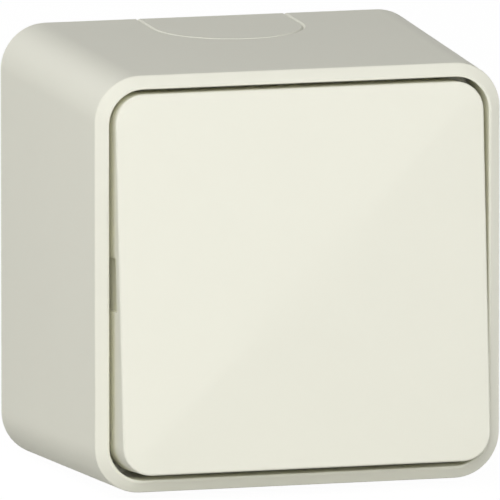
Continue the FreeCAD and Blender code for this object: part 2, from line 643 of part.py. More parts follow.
def make_carrier():
    """Frame that the rocker snaps on, with two trunnions and the plunger's tube, level."""
    frame = rounded_block(CARRIER_WIDTH, CARRIER_HEIGHT, CARRIER_ROUND, (CARRIER_BACK, CARRIER_FACE))
    reach = CARRIER_WIDTH / 2.0 + EAR_THICKNESS
    trunnions = cross_rod(TRUNNION_RADIUS, (-reach, reach), PIVOT_DEPTH)
    tube = rod(TUBE_RADIUS, (PIVOT_DEPTH - TUBE_REACH, CARRIER_FACE))
    window_start = TUBE_RADIUS + TUBE_SURROUND
    window_end = CARRIER_WIDTH / 2.0 - CARRIER_BAR
    windows = [box((s * window_start, s * window_end), (CARRIER_BACK - OVER, CARRIER_FACE + OVER),
                   bar(CARRIER_WINDOW_HEIGHT, 0)) for s in (-1, 1)]
    solid = fuse([frame.cut(windows), trunnions, tube])
    bore = rod(TUBE_BORE, (PIVOT_DEPTH - TUBE_REACH - OVER, CARRIER_FACE - TUBE_ROOF))
    return cut(solid, [bore])


def make_plunger():
    """Round nosed pin that slides in the carrier's tube, level."""
    tip = PIVOT_DEPTH - TIP_CENTRE_REACH
    mouth = PIVOT_DEPTH - TUBE_REACH
    neck = Part.makeCone(NOSE_RADIUS, PLUNGER_RADIUS, PLUNGER_RADIUS, V(0, -mouth + PLUNGER_RADIUS, 0), FRONT)
    nose = rod(NOSE_RADIUS, (tip, mouth - PLUNGER_RADIUS))
    ball = Part.makeSphere(NOSE_RADIUS, V(0, -tip, 0))
    body = rod(PLUNGER_RADIUS, (mouth, mouth + PLUNGER_LENGTH))
    return fuse([ball, nose, neck, body])


def make_spring():
    """Coil spring between the plunger and the roof of the tube, level."""
    start = PIVOT_DEPTH - TUBE_REACH + PLUNGER_LENGTH + SPRING_WIRE / 2.0
    end = CARRIER_FACE - TUBE_ROOF - SPRING_WIRE / 2.0
    length = end - start
    helix = Part.makeHelix(length / SPRING_TURNS, length, SPRING_RADIUS)
    section = Part.Wire(Part.makeCircle(SPRING_WIRE / 2.0, V(SPRING_RADIUS, 0, 0), V(0, 1, 0)))
    coil = Part.Wire(helix.Edges).makePipeShell([section], True, True)
    coil.rotate(ORIGIN, RIGHT, 90)
    coil.translate(V(0, -start, 0))
    return coil


def crown_rise(share):
    """Height of the face above its edge, where share is 1 at the edge and 0 in the middle."""
    full = math.hypot(1, CROWN_SOFTNESS) - CROWN_SOFTNESS
    return FACE_CROWN * (1 - (math.hypot(share, CROWN_SOFTNESS) - CROWN_SOFTNESS) / full)


def crown_sections(width, height, corner, depth):
    """Rings of the four faceted face: a pyramid with soft ridges and a rounded middle."""
    wires = []
    for share in CROWN_SHARES:
        small = min(width, height) * share
        radius = min(corner, 0.499 * small)
        wires.append(rounded_wire(width * share, height * share, radius, depth + crown_rise(share)))
    return Part.makeLoft(wires, True, True)


def rocker_ribs(inner_w, inner_h, inner_roof):
    """Stiffening ribs behind the face, two upright and two level."""
    rib_x = ROCKER_WIDTH / 2.0 - RIB_INSET
    rib_z = ROCKER_HEIGHT / 2.0 - RIB_INSET
    foot = inner_roof - RIB_HEIGHT
    upright = (foot, inner_roof + crown_rise(2 * rib_x / inner_w) + INTO_ROOF)
    level = (foot, inner_roof + crown_rise(2 * rib_z / inner_h) + INTO_ROOF)
    ribs = []
    for side in (-1, 1):
        ribs.append(box(bar(RIB_THICKNESS, side * rib_x), upright, bar(inner_h + 2 * INTO_WALL, 0)))
        ribs.append(box(bar(inner_w + 2 * INTO_WALL, 0), level, bar(RIB_THICKNESS, side * rib_z)))
    return ribs


def snap_leg(sx, sz, inner_h, inner_roof):
    """One leg with its hook behind the carrier, and the pad that presses on the carrier."""
    leg_in = CARRIER_HEIGHT / 2.0 + LEG_PLAY
    leg_top = inner_roof + crown_rise(2 * leg_in / inner_h) + LEG_INTO_ROOF
    hook_front = CARRIER_BACK - HOOK_PLAY
    leg_x = bar(LEG_WIDTH, sx * LEG_X)
    outer = sz * (leg_in + LEG_WALL)
    leg = box(leg_x, (hook_front - HOOK_HEIGHT, leg_top), (sz * leg_in, outer))
    hook = box(leg_x, (hook_front - HOOK_HEIGHT, hook_front), (sz * (leg_in - HOOK_REACH), outer))
    pad_outer = leg_in - PAD_INSET
    pad = box(bar(PAD_WIDTH, sx * LEG_X), (CARRIER_FACE, leg_top),
              (sz * (pad_outer - PAD_HEIGHT), sz * pad_outer))
    return [leg, hook, pad]


def make_rocker():
    """Big square rocker: a shallow pyramid face, a skirt, snap legs and a prying notch, level."""
    skirt = rounded_block(ROCKER_WIDTH, ROCKER_HEIGHT, ROCKER_CORNER, (SKIRT_BACK, FACE_DEPTH))
    crown = crown_sections(ROCKER_WIDTH, ROCKER_HEIGHT, ROCKER_CORNER, FACE_DEPTH)
    solid = fuse([skirt, crown])
    solid = soften(solid, ROCKER_ROUND, lambda c, e: abs(c.y + FACE_DEPTH) < NEAR)

    inner_w = ROCKER_WIDTH - 2 * SKIRT_WALL
    inner_h = ROCKER_HEIGHT - 2 * SKIRT_WALL
    inner_r = ROCKER_CORNER - SKIRT_WALL
    inner_roof = FACE_DEPTH - FACE_WALL
    hollow = rounded_block(inner_w, inner_h, inner_r, (SKIRT_BACK - OVER, inner_roof))
    dome = crown_sections(inner_w, inner_h, inner_r, inner_roof)
    pieces = [solid.cut([hollow, dome])] + rocker_ribs(inner_w, inner_h, inner_roof)
    for sx in (-1, 1):
        for sz in (-1, 1):
            pieces += snap_leg(sx, sz, inner_h, inner_roof)
    solid = fuse(pieces)

    side = -ROCKER_WIDTH / 2.0
    notch_front = FACE_DEPTH - NOTCH_BELOW_FACE
    notch = box((side - OVER, side + NOTCH_DEPTH), (SKIRT_BACK - OVER, notch_front), bar(NOTCH_HEIGHT, 0))
    notch = soften(notch, NOTCH_ROUND, lambda c, e: abs(c.y + notch_front) < NEAR
                   and abs(abs(c.z) - NOTCH_HEIGHT / 2.0) < NEAR)
    return cut(solid, [notch])


def build():
    """All nodes by name, in their place at rest."""
    nodes = {"hood": make_hood(), "base": make_base()}
    for number, side in ((1, -1), (2, 1)):
        nodes["hood_screw_%d" % number] = make_screw(WEB_FRONT, HOOD_SCREW_LENGTH, side * PILLAR_X, 0)
        nodes["insert_screw_%d" % number] = make_screw(LUG_SEAT + LUG_THICKNESS, INSERT_SCREW_LENGTH,
                                                       side * LUG_X, side * LUG_Z)
    nodes["insert_body"] = make_insert_body()
    nodes["insert_cover"] = make_insert_cover()
    nodes["common_contact"] = make_common_contact()
    level = (STRIP_BACK, STRIP_FRONT)
    nodes["upper_contact"] = make_strip(fixed_strip(1, 0, level), "upper")
    nodes["lower_contact"] = make_strip(fixed_strip(-1, 0, level), "lower")
    nodes["loop_contact"] = make_strip(loop_strip(0, level), "loop")
    for terminal, (x, z) in TERMINALS.items():
        nodes["clamp_" + terminal] = make_clamp(terminal)
        nodes["terminal_screw_" + terminal] = make_screw(STRIP_FRONT + CLAMP_THICKNESS, TERMINAL_SCREW_LENGTH, x, z)
    for name, side in (("upper", 1), ("lower", -1)):
        nodes["fixed_tip_" + name] = make_fixed_tip(side)
        nodes["moving_tip_" + name] = tilt(make_moving_tip(side), FULCRUM, CONTACT_TILT)
    nodes["contact_rocker"] = tilt(make_contact_rocker(), FULCRUM, CONTACT_TILT)
    nodes["rocker"] = tilt(make_rocker(), PIVOT, -REST_TILT)
    nodes["rocker_carrier"] = tilt(make_carrier(), PIVOT, -REST_TILT)
    nodes["plunger"] = tilt(make_plunger(), PIVOT, -REST_TILT)
    nodes["spring"] = tilt(make_spring(), PIVOT, -REST_TILT)
    return nodes


os.makedirs("parts", exist_ok=True)
for name, shape in build().items():
    solids = shape.Solids
    result = solids[0] if len(solids) == 1 else Part.makeCompound(solids)
    result.exportStep("parts/%s.step" % name)
    size = result.BoundBox
    print("%-24s solids %d valid %s volume %8.1f faces %3d  x %.2f..%.2f y %.2f..%.2f z %.2f..%.2f" % (
        name, len(solids), result.isValid(), result.Volume, len(result.Faces),
        size.XMin, size.XMax, size.YMin, size.YMax, size.ZMin, size.ZMax))
print("pivot depth %.5f, fulcrum depth %.5f, plunger tip reach %.2f" % (
    PIVOT_DEPTH, FULCRUM_DEPTH, TIP_CENTRE_REACH + NOSE_RADIUS))
print("rocker %.3f x %.3f, insert %.2f x %.2f, terminals at %.2f, %.2f" % (
    ROCKER_WIDTH, ROCKER_HEIGHT, INSERT_WIDTH, INSERT_HEIGHT, TERMINAL_X, TERMINAL_Z))
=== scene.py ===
# %% [markdown]
# # A surface mounted light switch
#
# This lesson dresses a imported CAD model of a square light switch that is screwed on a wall: a deep
# cream hood with a sloped rim, and one big rocker whose face is a very shallow pyramid. Inside are
# the contacts, screws and the moulded insert. The CAD model gives every place and size in metres.
# The hood and the rocker are modelled again here, because their soft edges catch the light, and
# every other piece keeps its CAD shape and gets a finish of its own.

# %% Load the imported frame
import json
import math

import bpy
from mathutils import Matrix, Vector


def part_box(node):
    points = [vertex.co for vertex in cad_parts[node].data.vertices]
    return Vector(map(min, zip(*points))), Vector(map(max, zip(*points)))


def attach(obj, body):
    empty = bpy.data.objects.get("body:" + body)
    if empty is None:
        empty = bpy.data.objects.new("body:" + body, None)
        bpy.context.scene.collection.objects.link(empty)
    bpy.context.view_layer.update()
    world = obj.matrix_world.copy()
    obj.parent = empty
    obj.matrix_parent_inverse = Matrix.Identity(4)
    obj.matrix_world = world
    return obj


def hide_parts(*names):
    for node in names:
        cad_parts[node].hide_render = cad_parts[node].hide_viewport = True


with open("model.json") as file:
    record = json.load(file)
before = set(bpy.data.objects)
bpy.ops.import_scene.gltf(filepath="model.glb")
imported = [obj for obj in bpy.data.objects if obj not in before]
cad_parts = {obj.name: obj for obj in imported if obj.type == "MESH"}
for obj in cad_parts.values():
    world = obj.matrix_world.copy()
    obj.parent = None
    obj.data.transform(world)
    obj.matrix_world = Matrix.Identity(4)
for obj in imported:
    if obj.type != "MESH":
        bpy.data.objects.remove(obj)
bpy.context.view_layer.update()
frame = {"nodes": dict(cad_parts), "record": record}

# %% [markdown]
# ## Sizes
#
# The pieces modelled here repeat the main sizes of the CAD solids that they stand for, in
# millimetres. A depth is measured from the wall towards the user, so depth 48 lies at y = -0.048.
# Keeping these numbers in one cell makes it easy to see how the rim, the lip and the rocker depend
# on each other. Smaller forms get their sizes in the cells that make them.

# %% Sizes of the hood and the rocker
MM = 0.001

BACK_WIDTH = 67.0
SIDE_TAPER = 3.1
RIM_DEPTH = 48.2
LIP_DEPTH = 49.28
HOOD_WALL = 2.0
HOOD_CORNER = 7.05
LIP_CORNER = 5.3
PIVOT_DEPTH = 47.01
WEB_FRONT = 38.01
WEB_BACK = 36.01

FACE_DEPTH = 51.76
ROCKER_HALF_WIDTH = 29.0
ROCKER_HALF_HEIGHT = 28.95
ROCKER_CORNER = 4.5
SKIRT_WALL = 1.6
SKIRT_BACK = 43.56
FACE_WALL = 1.9
CROWN = 2.3
REST_TILT = 4.55


def hood_half(depth, inside=False):
    """Half the hood's width at a depth, outside or inside its wall."""
    outside = (BACK_WIDTH - SIDE_TAPER * depth / RIM_DEPTH) / 2
    return outside - HOOD_WALL if inside else outside


rim_half = hood_half(RIM_DEPTH)
lip_half = hood_half(LIP_DEPTH, inside=True)
print("rim half width %.3f, lip half width %.3f" % (rim_half, lip_half))

# %% [markdown]
# ## Working by hand, in code
#
# Modelling operators act on whatever is selected, so every step first clears the selection and then
# picks what it needs. These small helpers do that. `settle` also moves a piece's origin to the
# frame's origin, as the CAD nodes have it, so that patterns in the materials keep their place.

# %% Selection helpers
def clear_selection():
    """Object mode, with nothing selected."""
    if bpy.context.object and bpy.context.object.mode != "OBJECT":
        bpy.ops.object.mode_set(mode="OBJECT")
    bpy.ops.object.select_all(action="DESELECT")


def pick(piece):
    """Selects one piece alone and makes it active."""
    clear_selection()
    piece.select_set(True)
    bpy.context.view_layer.objects.active = piece


def settle(piece, name):
    """Gives a piece its name and puts its place into its mesh."""
    pick(piece)
    bpy.ops.object.transform_apply(location=True, rotation=True, scale=True)
    piece.name = name
    piece.data.name = name
    return piece


clear_selection()
print("selection cleared")

# %% [markdown]
# ## Skinning a row of outlines
#
# Both mouldings are made of rounded squares: the hood's wall, rim and lip, and the rocker's skirt
# and face. A box with bevelled edges would do for one of them, but here the corner radius changes
# on the way from the outside to the lip. So each outline is drawn as a plane whose four corners are
# rounded with a vertex bevel, and neighbouring outlines are then joined with Bridge Edge Loops.

# %% Draw one outline
CORNER_STEPS = 14


def add_outline(half_width, half_height, depth, corner):
    """Adds one rounded rectangle, seen from the front, to the mesh that is being edited."""
    place = (0, -depth * MM, 0)
    bpy.ops.mesh.select_all(action="DESELECT")
    bpy.ops.mesh.primitive_plane_add(size=1, location=place, rotation=(math.pi / 2, 0, 0))
    size = (2 * half_width * MM, 1, 2 * half_height * MM)
    bpy.ops.transform.resize(value=size, center_override=place)
    bpy.ops.mesh.bevel(offset=corner * MM, offset_type="OFFSET", segments=CORNER_STEPS,
                       profile=0.5, affect="VERTICES")
    bpy.ops.mesh.delete(type="ONLY_FACE")


print("an outline has", 4 * (CORNER_STEPS + 1), "points")

# %% [markdown]
# All outlines are drawn into one mesh, one after another, so each has its own run of point numbers.
# `skin` picks two neighbours by those numbers and bridges them, step by step. A row with two ends
# gets a face at each of them, and a closed row is also joined from its last outline to its first.

# %% Join the outlines
def pick_outlines(piece, count, numbers):
    """Selects the points of the outlines with these numbers, ready for an edit."""
    bpy.ops.object.mode_set(mode="EDIT")
    bpy.ops.mesh.select_all(action="DESELECT")
    bpy.ops.object.mode_set(mode="OBJECT")
    for number in numbers:
        for index in range(number * count, (number + 1) * count):
            piece.data.vertices[index].select = True
    bpy.ops.object.mode_set(mode="EDIT")


def skin(name, outlines, closed):
    """Joins a row of outlines into one solid. A closed row runs back to its first outline."""
    clear_selection()
    bpy.ops.mesh.primitive_plane_add(size=1)
    piece = bpy.context.object
    bpy.ops.object.mode_set(mode="EDIT")
    bpy.ops.mesh.select_mode(type="VERT")
    bpy.ops.mesh.delete(type="VERT")
    for outline in outlines:
        add_outline(*outline)
    bpy.ops.object.mode_set(mode="OBJECT")
    count = len(piece.data.vertices) // len(outlines)
    steps = [(number, number + 1) for number in range(len(outlines) - 1)]
    if closed:
        steps.append((len(outlines) - 1, 0))
    for step in steps:
        pick_outlines(piece, count, step)
        bpy.ops.mesh.bridge_edge_loops()
    if not closed:
        for end in (0, len(outlines) - 1):
            pick_outlines(piece, count, [end])
            bpy.ops.mesh.edge_face_add()
    bpy.ops.mesh.select_all(action="SELECT")
    bpy.ops.mesh.normals_make_consistent(inside=False)
    bpy.ops.object.mode_set(mode="OBJECT")
    print(name, "skinned:", len(outlines), "outlines of", count, "points")
    return settle(piece, name)


print("outlines can be skinned")

# %% [markdown]
# A moulded edge is never sharp. A profile is a list of corner points, and each may ask for a small
# round. `round_profile` replaces such a point by a short arc of outlines, so the skin gets its
# rounded rim and lip directly, with the radii that the real tool would have. One trap is worth
# knowing: Bridge Edge Loops joins two outlines with a twist when their middles lie within about a
# hundredth of a millimetre, so no round here is so small that its arc takes steps like that.

# %% Rounding a profile
ARC_STEPS = 4


def arc_outlines(before, here, after, radius):
    """The arc that rounds one profile point. A point is (half width, depth, half height, corner)."""
    towards_before = (before.xy - here.xy).normalized()
    towards_after = (after.xy - here.xy).normalized()
    half_angle = towards_before.angle(towards_after) / 2
    reach = radius / math.tan(half_angle)
    start = here + (before - here) * (reach / (before.xy - here.xy).length)
    end = here + (after - here) * (reach / (after.xy - here.xy).length)
    inwards = (towards_before + towards_after).normalized()
    centre = here.xy + inwards * (radius / math.sin(half_angle))
    first, last = start.xy - centre, end.xy - centre
    turn = first.angle(last)
    arc = []
    for step in range(ARC_STEPS + 1):
        share = step / ARC_STEPS
        blend = first * math.sin((1 - share) * turn) + last * math.sin(share * turn)
        spot = centre + blend / math.sin(turn)
        mixed = start.lerp(end, share)
        half_height = spot.x + (mixed.z - mixed.x)
        arc.append((spot.x, half_height, spot.y, mixed.w))
    return arc


def round_profile(points, closed):
    """Outlines through profile points given as (half width, half height, depth, corner, round)."""
    places = [Vector((half, depth, height, corner)) for half, height, depth, corner, _ in points]
    outlines = []
    for index, (half, height, depth, corner, radius) in enumerate(points):
        at_end = index in (0, len(points) - 1) and not closed
        if at_end or not radius:
            outlines.append((half, height, depth, corner))
        else:
            before = places[index - 1]
            after = places[(index + 1) % len(points)]
            outlines += arc_outlines(before, places[index], after, radius)
    return outlines


print("arcs use", ARC_STEPS, "steps each")

# %% [markdown]
# ## The hood
#
# The real hood is one moulding: a square tube that narrows a little towards the front, so that it
# leaves its mould, a rim that slopes up to a thin lip round the rocker, and an inner web through
# which it is screwed to the base. One closed row of outlines makes it all: up the outside, over the
# rim, down inside to the web, through the web's window and back along the inner wall to the start.

# %% Skin the hood
WINDOW_HALF_WIDTH = 18.3
WINDOW_HALF_HEIGHT = 8.8
WINDOW_CORNER = 2.3
LIP_FLAT = 0.42
BACK_EDGE_ROUND = 0.3
RIM_ROUND = 0.45
LIP_OUTER_ROUND = 0.2
LIP_INNER_ROUND = 0.16
WEB_FILLET = 0.5

lip_outer = lip_half + LIP_FLAT
web_front_half = hood_half(WEB_FRONT, inside=True)
web_back_half = hood_half(WEB_BACK, inside=True)
back_half = hood_half(0, inside=True)
hood_profile = [
    (BACK_WIDTH / 2, BACK_WIDTH / 2, 0, HOOD_CORNER, BACK_EDGE_ROUND),
    (rim_half, rim_half, RIM_DEPTH, HOOD_CORNER, RIM_ROUND),
    (lip_outer, lip_outer, LIP_DEPTH, LIP_CORNER + LIP_FLAT, LIP_OUTER_ROUND),
    (lip_half, lip_half, LIP_DEPTH, LIP_CORNER, LIP_INNER_ROUND),
    (web_front_half, web_front_half, WEB_FRONT, LIP_CORNER, WEB_FILLET),
    (WINDOW_HALF_WIDTH, WINDOW_HALF_HEIGHT, WEB_FRONT, WINDOW_CORNER, 0),
    (WINDOW_HALF_WIDTH, WINDOW_HALF_HEIGHT, WEB_BACK, WINDOW_CORNER, 0),
    (web_back_half, web_back_half, WEB_BACK, LIP_CORNER, WEB_FILLET),
    (back_half, back_half, 0, LIP_CORNER, BACK_EDGE_ROUND),
]
hood = skin("hood_moulding", round_profile(hood_profile, closed=True), closed=True)

# %% [markdown]
# ## Cutting and tipping
#
# Some forms are easier to cut than to draw. These helpers add a modifier and apply it at once, cut
# one piece out of another with a Boolean, start an edit with the points that pass a test, and tip a
# piece about a line from left to right.

# %% Tools for cutting and tipping
OVERCUT = 1.0


def apply_modifier(piece, kind, **settings):
    """Adds a modifier to a piece and applies it."""
    pick(piece)
    modifier = piece.modifiers.new(kind.lower(), kind)
    for key, value in settings.items():
        setattr(modifier, key, value)
    bpy.ops.object.modifier_apply(modifier=modifier.name)


def carve(piece, tool, operation="DIFFERENCE"):
    """Cuts a tool out of a piece, or adds it, and removes the tool."""
    apply_modifier(piece, "BOOLEAN", object=tool, operation=operation, solver="EXACT")
    bpy.data.objects.remove(tool, do_unlink=True)


def select_points(piece, test):
    """Selects the points that pass a test, and starts an edit."""
    pick(piece)
    bpy.ops.object.mode_set(mode="EDIT")
    bpy.ops.mesh.select_mode(type="VERT")
    bpy.ops.mesh.select_all(action="DESELECT")
    bpy.ops.object.mode_set(mode="OBJECT")
    for vertex in piece.data.vertices:
        vertex.select = test(vertex.co)
    bpy.ops.object.mode_set(mode="EDIT")


def tip(piece, place, angle):
    """Turns a piece about the line along X through a place."""
    hinge = Matrix.Translation(place)
    piece.matrix_world = hinge @ Matrix.Rotation(angle, 4, "X") @ hinge.inverted()


print("cuts run", OVERCUT, "mm past what they cut")

# %% [markdown]
# The hood's top and bottom carry a knock-out for the cable: a thin U shaped groove that weakens the
# hood's wall. Its tool starts as a line of edges along the groove. A circle gives the round end:
# the half towards the back is deleted, and the two open ends are extruded to straight legs.

# %% Draw the line of the knock-out
KNOCKOUT_RADIUS = 12.0
KNOCKOUT_STRAIGHT = 9.2
GROOVE_WIDTH = 0.56
GROOVE_POINTS = 72
HAIR = 0.001


def groove_outline(low):
    """Edges along the groove: half a circle, and two legs that run past the hood's back edge."""
    clear_selection()
    front = -KNOCKOUT_STRAIGHT * MM
    radius = (KNOCKOUT_RADIUS - GROOVE_WIDTH / 2) * MM
    bpy.ops.mesh.primitive_circle_add(vertices=GROOVE_POINTS, radius=radius, fill_type="NOTHING",
                                      location=(0, front, low * MM))
    outline = settle(bpy.context.object, "groove_tool")
    select_points(outline, lambda co: co.y > front + HAIR * MM)
    bpy.ops.mesh.delete(type="VERT")
    bpy.ops.object.mode_set(mode="OBJECT")
    select_points(outline, lambda co: co.y > front - HAIR * MM)
    run = (0, (KNOCKOUT_STRAIGHT + OVERCUT) * MM, 0)
    bpy.ops.mesh.extrude_vertices_move(TRANSFORM_OT_translate={"value": run})
    return outline


print("the knock-out is", 2 * KNOCKOUT_RADIUS, "mm wide")

# %% [markdown]
# Extruding the line upwards gives a strip. Solidify thickens it by a vertex group, so it is thin
# below and wide above and cuts a V. The strip leans with the tapered wall, so the groove has one
# depth all along. The same tool, turned over, cuts the bottom wall.

# %% Cut the knock-out grooves
GROOVE_DEPTH = 0.28
GROOVE_TOOL_HEIGHT = 1.0
GROOVE_TIP = 0.03


def groove_tool(turned):
    """Strip along the knock-out's outline, sunk into the top wall, or turned to the bottom wall."""
    low = BACK_WIDTH / 2 - GROOVE_DEPTH
    tool = groove_outline(low)
    rise = (0, 0, GROOVE_TOOL_HEIGHT * MM)
    bpy.ops.mesh.select_all(action="SELECT")
    bpy.ops.mesh.extrude_edges_move(TRANSFORM_OT_translate={"value": rise})
    bpy.ops.object.mode_set(mode="OBJECT")
    tool.vertex_groups.new(name="mouth")
    select_points(tool, lambda co: co.z > (low + GROOVE_TOOL_HEIGHT / 2) * MM)
    bpy.context.tool_settings.vertex_group_weight = 1.0
    bpy.ops.object.vertex_group_assign()
    bpy.ops.object.mode_set(mode="OBJECT")
    mouth = GROOVE_WIDTH * GROOVE_TOOL_HEIGHT / GROOVE_DEPTH
    apply_modifier(tool, "SOLIDIFY", thickness=mouth * MM, offset=0,
                   vertex_group="mouth", thickness_vertex_group=GROOVE_TIP)
    tip(tool, (0, 0, BACK_WIDTH / 2 * MM), math.atan(SIDE_TAPER / 2 / RIM_DEPTH))
    if turned:
        tool.matrix_world = Matrix.Rotation(math.pi, 4, "Y") @ tool.matrix_world
    return settle(tool, "groove_tool")


for turned in (False, True):
    carve(hood, groove_tool(turned))
print("hood has", len(hood.data.polygons), "faces with its grooves")

# %% [markdown]
# Two screws hold the hood's web on the base, and each head lies in a low ring that stands on the
# web. A wide drum is added for the ring, a narrower one is cut out of it for the head, and the
# narrowest makes the hole for the screw.

# %% Add the screw rings and holes
SCREW_X = 25.0
SCREW_HOLE = 1.95
RING_INNER = 3.4
RING_OUTER = 4.4
RING_HEIGHT = 1.4
RING_SUNK = 0.5
DRUM_POINTS = 48


def drum(radius, depth_from, depth_to, x):
    """Round tool along the depth, between two depths."""
    clear_selection()
    middle = -(depth_from + depth_to) / 2 * MM
    length = (depth_to - depth_from) * MM
    bpy.ops.mesh.primitive_cylinder_add(vertices=DRUM_POINTS, radius=radius * MM, depth=length,
                                        location=(x * MM, middle, 0), rotation=(math.pi / 2, 0, 0))
    return settle(bpy.context.object, "drum")


ring_front = WEB_FRONT + RING_HEIGHT
for x in (-SCREW_X, SCREW_X):
    carve(hood, drum(RING_OUTER, WEB_FRONT - RING_SUNK, ring_front, x), "UNION")
    carve(hood, drum(RING_INNER, WEB_FRONT, ring_front + OVERCUT, x))
    carve(hood, drum(SCREW_HOLE, WEB_BACK - OVERCUT, WEB_FRONT + OVERCUT, x))
print("hood has", len(hood.data.polygons), "faces with its screw rings")

# %% [markdown]
# Low ribs stiffen the hood's walls behind the web. They are plain bars on the real part too, so
# each is a cube stretched to size with its edges bevelled, added to the hood's mesh.

# %% Add the wall ribs
BAR_ROUND = 0.15
WALL_RIB = 1.2
WALL_RIB_FROM = 8.1
WALL_RIB_TO = 36.3
WALL_RIB_INNER = 29.45
WALL_RIB_OUTER = 31.0
SIDE_RIB_Z = 14.0
END_RIB_X = 21.5


def bar(low, high, name="bar", soft=BAR_ROUND):
    """Block between two corners in millimetres (x, depth, z), with softened edges."""
    clear_selection()
    middle = [(a + b) / 2 * MM for a, b in zip(low, high)]
    size = [(b - a) * MM for a, b in zip(low, high)]
    bpy.ops.mesh.primitive_cube_add(size=1, location=(middle[0], -middle[1], middle[2]))
    block = bpy.context.object
    block.scale = size
    settle(block, name)
    apply_modifier(block, "BEVEL", width=soft * MM, segments=2)
    return block


def join(piece, extras):
    """Puts the meshes of extra objects into a piece."""
    pick(piece)
    for extra in extras:
        extra.select_set(True)
    bpy.ops.object.join()


half = WALL_RIB / 2
wall_ribs = []
for side in (-1, 1):
    near, far = sorted((side * WALL_RIB_INNER, side * WALL_RIB_OUTER))
    for z in (-SIDE_RIB_Z, SIDE_RIB_Z):
        wall_ribs.append(bar((near, WALL_RIB_FROM, z - half), (far, WALL_RIB_TO, z + half)))
    for x in (-END_RIB_X, END_RIB_X):
        wall_ribs.append(bar((x - half, WALL_RIB_FROM, near), (x + half, WALL_RIB_TO, far)))
join(hood, wall_ribs)
print("ribs in the hood:", len(wall_ribs))

# %% [markdown]
# ## The rocker
#
# The rocker's face is a pyramid little more than two millimetres high, with narrow ridges that run
# in from its corners and a rounded middle, which is why its four sides catch slightly different
# light. It could be four flat faces with a bevel on the ridges, but the ridges of the real face
# widen towards the middle and fade at the edge. So the face is a row of rings, each a share of the
# edge's size, and each ring's height and corner radius come from a short formula.

# %% The form of the face
CROWN_SHARES = (0.03, 0.07, 0.11, 0.15, 0.2, 0.26, 0.34, 0.45, 0.6, 0.8, 0.9)
CROWN_SOFTNESS = 0.14
RIDGE_ROUND = 0.9
RIDGE_START = 0.35
RIDGE_END = 0.9
MIDDLE_ROUND = 5.5
ROUNDEST = 0.96


def crown_rise(share):
    """Height of the face above its edge, where share is 1 at the edge and 0 in the middle."""
    full = math.hypot(1, CROWN_SOFTNESS) - CROWN_SOFTNESS
    return CROWN * (1 - (math.hypot(share, CROWN_SOFTNESS) - CROWN_SOFTNESS) / full)


def ridge_corner(share, corner):
    """Corner radius of a face ring: small along the ridges, larger in the middle and at the edge."""
    near_edge = max(0, (share - RIDGE_END) / (1 - RIDGE_END))
    near_middle = max(0, 1 - share / RIDGE_START)
    return RIDGE_ROUND + (corner - RIDGE_ROUND) * near_edge + MIDDLE_ROUND * near_middle


def crown_outlines(half_width, half_height, corner, depth):
    """Profile points of the face from its middle outwards."""
    rows = []
    for share in CROWN_SHARES:
        largest = ROUNDEST * (min(half_width, half_height) * share)
        rows.append((half_width * share, half_height * share, depth + crown_rise(share),
                     min(ridge_corner(share, corner), largest), 0))
    return rows


print("the middle of the face stands %.2f mm over its edge" % crown_rise(CROWN_SHARES[0]))

# %% [markdown]
# The row of outlines starts in the middle of the face, runs to its edge, down the skirt, and back
# up inside. The inner side repeats the rings of the face, so the wall has nearly one thickness.

# %% Skin the rocker
FACE_EDGE_ROUND = 0.4
SKIRT_EDGE_ROUND = 0.2
INNER_FILLET = 0.4

inner_width = ROCKER_HALF_WIDTH - SKIRT_WALL
inner_height = ROCKER_HALF_HEIGHT - SKIRT_WALL
inner_corner = ROCKER_CORNER - SKIRT_WALL
inner_roof = FACE_DEPTH - FACE_WALL
rocker_profile = crown_outlines(ROCKER_HALF_WIDTH, ROCKER_HALF_HEIGHT, ROCKER_CORNER, FACE_DEPTH)
rocker_profile += [
    (ROCKER_HALF_WIDTH, ROCKER_HALF_HEIGHT, FACE_DEPTH, ROCKER_CORNER, FACE_EDGE_ROUND),
    (ROCKER_HALF_WIDTH, ROCKER_HALF_HEIGHT, SKIRT_BACK, ROCKER_CORNER, SKIRT_EDGE_ROUND),
    (inner_width, inner_height, SKIRT_BACK, inner_corner, SKIRT_EDGE_ROUND),
    (inner_width, inner_height, inner_roof, inner_corner, INNER_FILLET),
]
rocker_profile += reversed(crown_outlines(inner_width, inner_height, inner_corner, inner_roof))
rocker = skin("rocker_moulding", round_profile(rocker_profile, closed=False), closed=False)

# %% [markdown]
# A small notch in the left skirt lets a screwdriver lift the rocker off. It is cut with a bar whose
# edges are a little softened, so the notch has small fillets.

# %% Cut the prying notch
NOTCH_BELOW_FACE = 1.95
NOTCH_HALF = 4.1
NOTCH_DEPTH = 0.45
NOTCH_FILLET = 0.12
NOTCH_BEHIND = 2.0

notch = bar((-ROCKER_HALF_WIDTH - OVERCUT, SKIRT_BACK - NOTCH_BEHIND, -NOTCH_HALF),
            (-ROCKER_HALF_WIDTH + NOTCH_DEPTH, FACE_DEPTH - NOTCH_BELOW_FACE, NOTCH_HALF),
            "notch", NOTCH_FILLET)
carve(rocker, notch)
print("rocker has", len(rocker.data.polygons), "faces with its notch")

# %% [markdown]
# Four ribs behind the face stiffen it. They are bars with softened edges. The function that gives
# the height of the face also says how far a rib reaches, so that its front ends inside the wall.

# %% Make the face ribs
RIB_THICKNESS = 1.2
RIB_HEIGHT = 1.6
RIB_INSET = 9.15
RIB_INTO_ROOF = 0.6
RIB_INTO_WALL = 0.4


def roof_depth(place, half_size):
    """Depth of the face's inner side at a distance from its middle."""
    return inner_roof + crown_rise(place / half_size)


